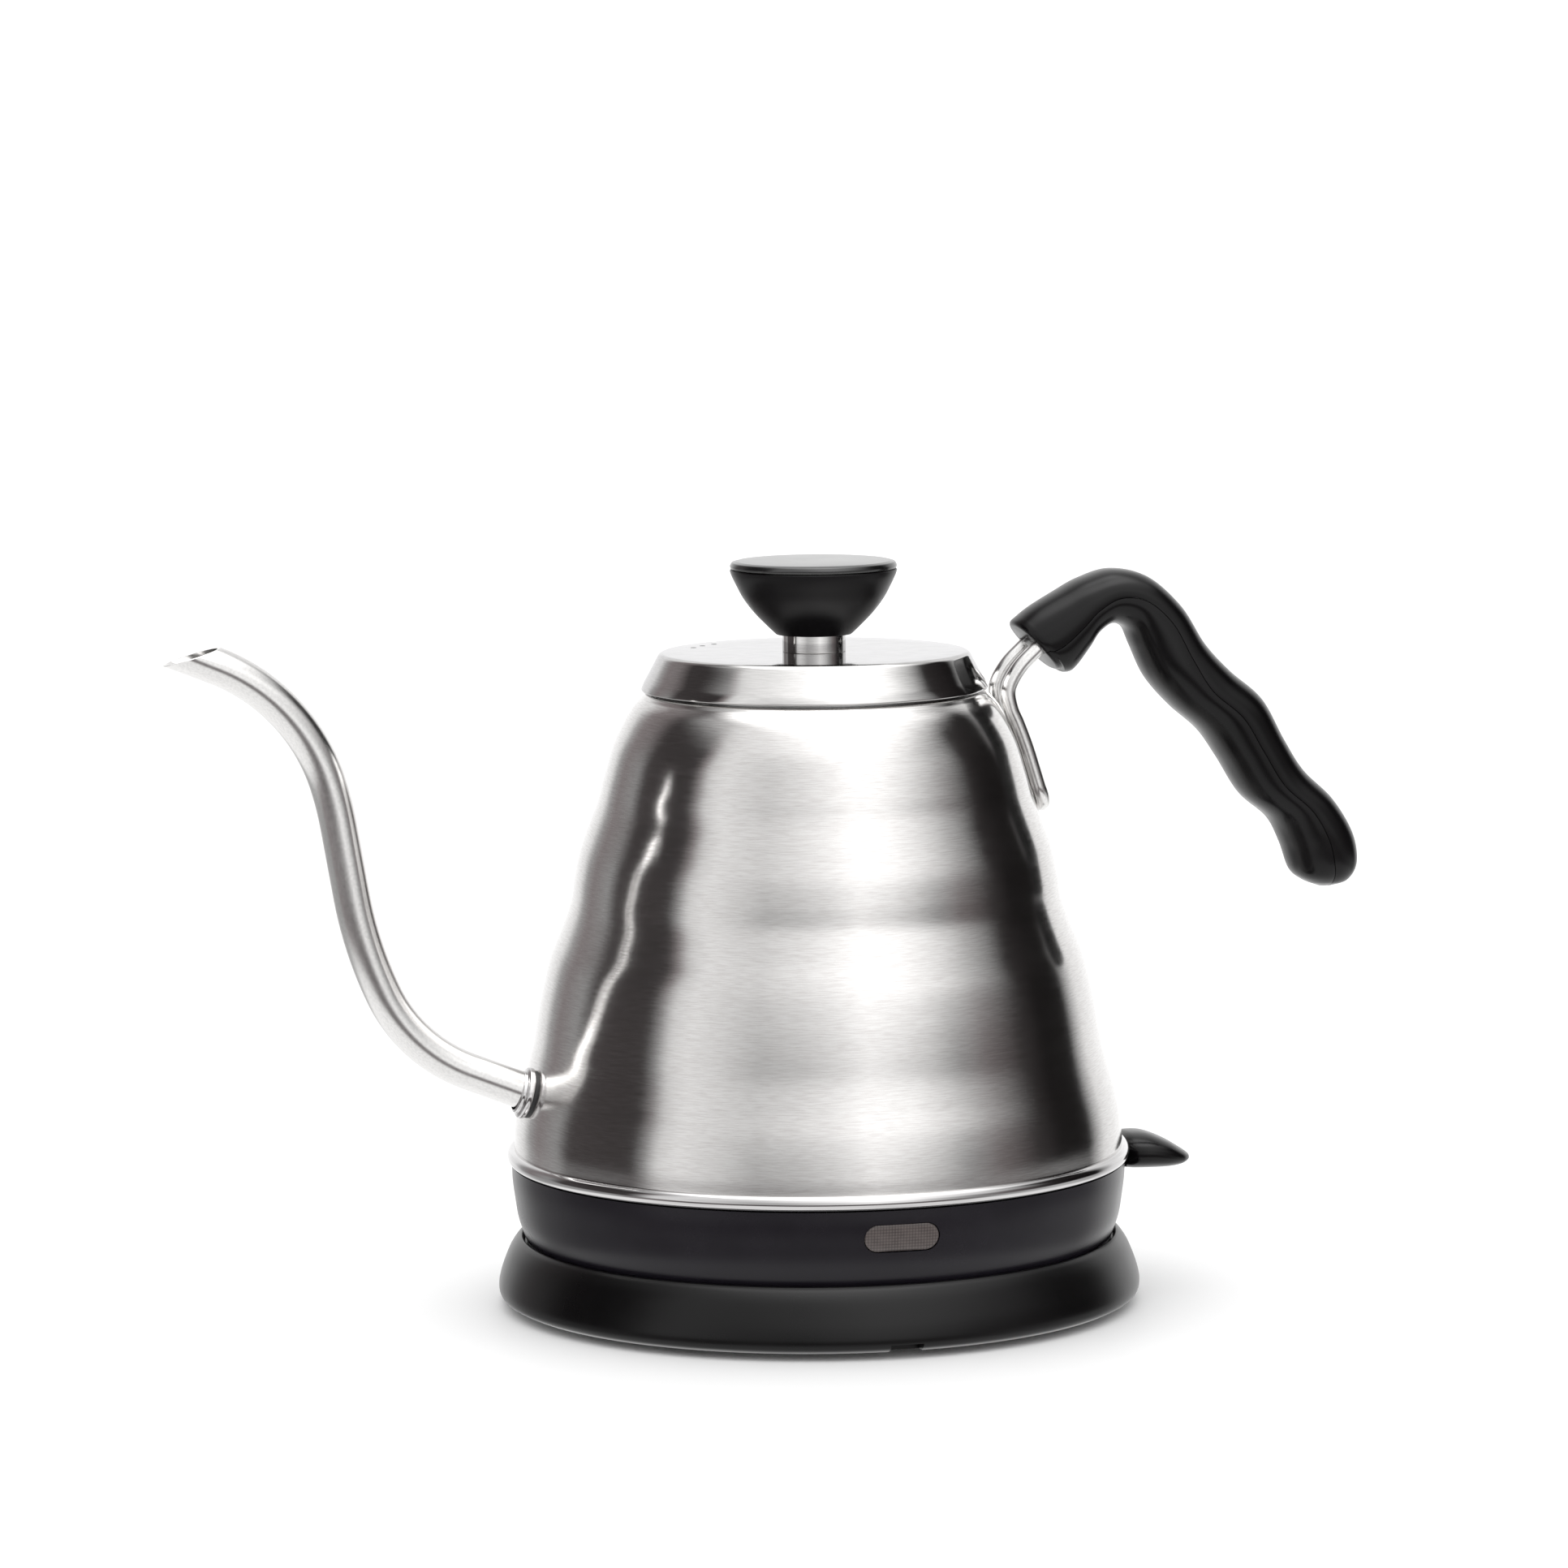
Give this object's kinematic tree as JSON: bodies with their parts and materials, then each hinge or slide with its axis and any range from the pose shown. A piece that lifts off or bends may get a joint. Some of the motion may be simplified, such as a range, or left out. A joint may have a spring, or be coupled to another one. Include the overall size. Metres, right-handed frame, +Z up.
{
  "type": "gooseneck kettle",
  "caption": "Electric gooseneck kettle: waisted brushed steel body, slim curved spout, looped black handle, lift-off lid with bowl knob, press lever and round power base.",
  "frame": {"origin": "centre of the power base's underside, on the table", "axes": "+Z up, +X towards the handle and the lever, -X towards the spout, -Y towards the lamp window"},
  "size_m": [0.2795, 0.147, 0.1701],
  "materials": {
    "body_steel": "circumferentially brushed stainless steel",
    "lid_steel": "satin stainless steel, brushed round the lid",
    "tube_steel": "finely brushed stainless steel tube and rod",
    "polished_steel": "polished stainless steel",
    "inner_steel": "plain stainless steel sheet",
    "handle_black": "satin moulded black plastic",
    "band_black": "satin moulded black plastic",
    "base_black": "fine matt black plastic",
    "knob_black": "smooth satin black plastic",
    "inner_black": "moulded black plastic",
    "foot_rubber": "dark grey rubber",
    "grommet_rubber": "brown silicone rubber",
    "lens_smoke": "smoked translucent window with a fine grid",
    "lamp_glass": "clear glass bulb",
    "brass": "plain brass",
    "aluminium": "plain aluminium",
    "ivory_plastic": "ivory heat-resistant plastic",
    "red_wire": "red silicone insulation"
  },
  "bodies": {
    "power_base": {"base_cover": "base_black", "base_plate": "base_black", "base_feet": "foot_rubber", "base_screws": "inner_steel", "base_socket": "inner_black", "socket_contacts": "brass", "cord_gland": "inner_black", "cord_clamp": "ivory_plastic", "clamp_screws": "inner_steel"},
    "kettle_plug": {"plug_housing": "inner_black", "plug_rings": "brass", "plug_pin": "brass"},
    "kettle": {"body_shell": "body_steel", "floor_pan": "inner_steel", "seam_ring": "polished_steel", "spout_tube": "tube_steel", "spout_collar": "polished_steel", "weld_plate": "tube_steel", "handle_bracket": "tube_steel", "handle_upper": "handle_black", "handle_lower": "handle_black", "handle_screw": "inner_steel", "shroud": "band_black", "kettle_cover": "inner_black", "cover_screws": "inner_steel", "lamp_lens": "lens_smoke", "lamp_bulb": "lamp_glass", "lamp_holder": "ivory_plastic", "lamp_leads": "red_wire", "heat_spreader": "aluminium", "heating_element": "tube_steel", "element_pins": "inner_steel", "control_unit": "ivory_plastic", "thermal_discs": "inner_steel", "steam_tube": "inner_steel", "steam_grommet": "grommet_rubber", "steam_disc": "inner_steel", "switch_frame": "inner_black", "lever_pin": "inner_steel", "rocker_pin": "inner_steel", "fixed_contacts": "brass"},
    "lid_insert": {"lid_liner": "inner_steel"},
    "lid": {"lid_cover": "lid_steel", "knob_neck": "lid_steel", "knob_bowl": "knob_black", "knob_cap": "knob_black", "knob_screw": "inner_steel"},
    "lever": {"switch_lever": "handle_black"},
    "rocker": {"trip_rocker": "ivory_plastic", "rocker_contact": "brass"}
  },
  "joints": [
    {"name": "kettle_lift", "type": "slide", "parent": "power_base", "child": "kettle_plug", "axis": [0, 0, 1], "range_m": [0, 0.06]},
    {"name": "kettle_turn", "type": "hinge", "parent": "kettle_plug", "child": "kettle", "pos_m": [0, 0, 0.02], "axis": [0, 0, 1], "continuous": true},
    {"name": "lid_lift", "type": "slide", "parent": "kettle", "child": "lid_insert", "axis": [0, 0, 1], "range_m": [0, 0.06]},
    {"name": "lid_turn", "type": "hinge", "parent": "lid_insert", "child": "lid", "pos_m": [0, 0, 0.145], "axis": [0, 0, 1], "continuous": true},
    {"name": "lever_press", "type": "hinge", "parent": "kettle", "child": "lever", "pos_m": [0.062, 0, 0.029], "axis": [0, 1, 0], "range_deg": [0, 12]},
    {"name": "rocker_trip", "type": "hinge", "parent": "kettle", "child": "rocker", "pos_m": [0.047, 0, 0.024], "axis": [0, 1, 0], "range_deg": [-10, 0]}
  ],
  "couplings": [
    {"joint": "rocker_trip", "follows": "lever_press", "ratio": -0.8}
  ]
}
